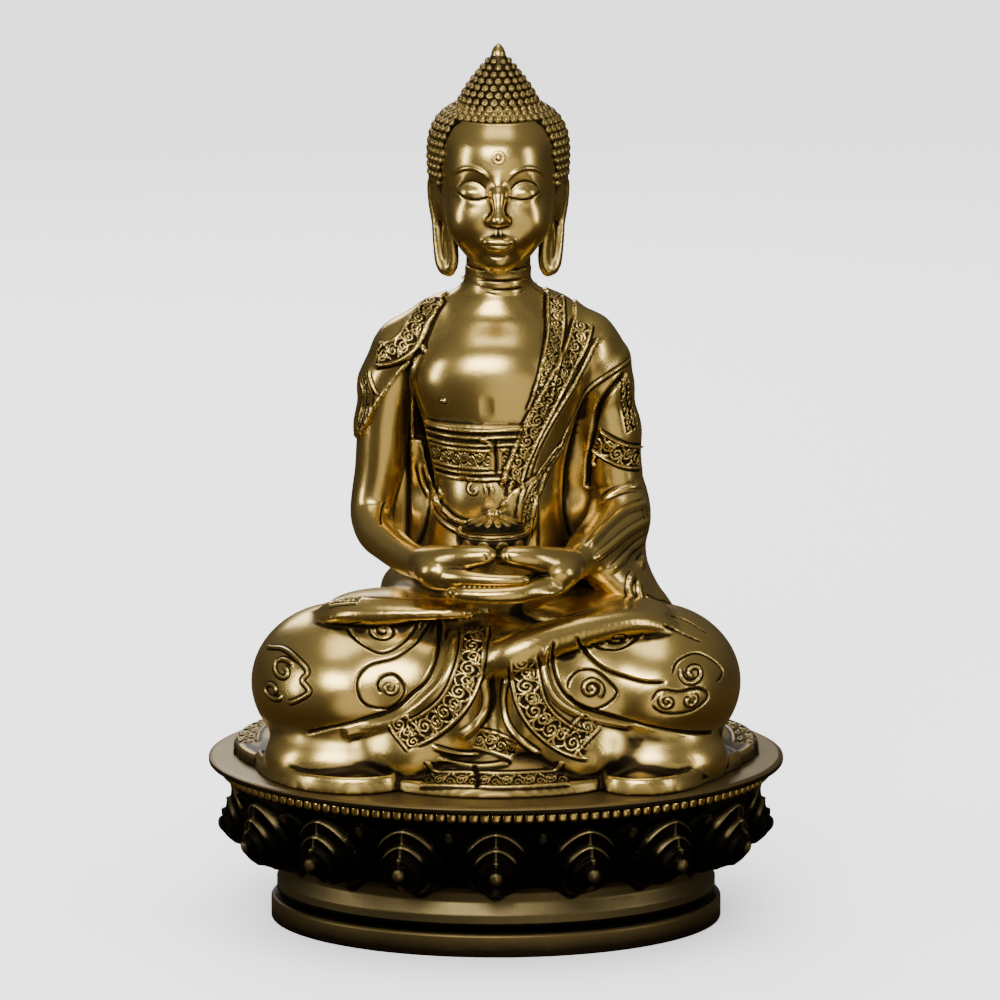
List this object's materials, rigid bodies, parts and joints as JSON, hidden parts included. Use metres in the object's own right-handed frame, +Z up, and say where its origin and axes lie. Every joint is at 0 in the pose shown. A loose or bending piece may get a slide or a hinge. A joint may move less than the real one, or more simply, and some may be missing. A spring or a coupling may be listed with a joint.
{
  "type": "buddha statue",
  "caption": "Cast brass seated Buddha in meditation, holding a lidded alms bowl in the lap, on an oval lotus throne with downturned petals and a beaded rim.",
  "frame": {"origin": "middle of the footprint, on the surface that the throne stands on", "axes": "+Z up through the crown, -Y is the way the figure faces, +X is towards the figure's left knee"},
  "size_m": [0.196, 0.156, 0.3],
  "materials": {
    "figure_brass": "polished, with dark patina left in the folds and engraving",
    "throne_brass": "satin, brown patina",
    "dark_brass": "nearly black patina, rubbed bright on the ridges",
    "bowl_brass": "satin, brown patina",
    "steel": "plain"
  },
  "bodies": {
    "root": {"foot_ring": "throne_brass", "closing_plate": "throne_brass", "plate_screw_1": "steel", "plate_screw_2": "steel", "plate_screw_3": "steel", "plate_screw_4": "steel", "plate_screw_5": "steel", "plate_screw_6": "steel", "lotus_drum": "dark_brass", "beaded_collar": "throne_brass", "seat_plate": "throne_brass", "tie_rod": "steel", "tie_washer": "steel", "tie_nut": "steel", "crossed_legs": "figure_brass", "torso": "figure_brass", "head": "figure_brass", "right_arm": "figure_brass", "left_arm": "figure_brass", "neck_pin": "throne_brass", "right_arm_rivet": "throne_brass", "left_arm_rivet": "throne_brass", "crown_finial": "figure_brass", "forehead_stud": "figure_brass"},
    "bowl": {"alms_bowl": "bowl_brass"},
    "lid": {"bowl_lid": "bowl_brass"}
  },
  "joints": [
    {"name": "bowl_lift", "type": "slide", "parent": "root", "child": "bowl", "axis": [0, -0.3499, 0.9368], "range_m": [0, 0.08]},
    {"name": "lid_lift", "type": "slide", "parent": "bowl", "child": "lid", "axis": [0, 0, 1], "range_m": [0, 0.03]}
  ]
}
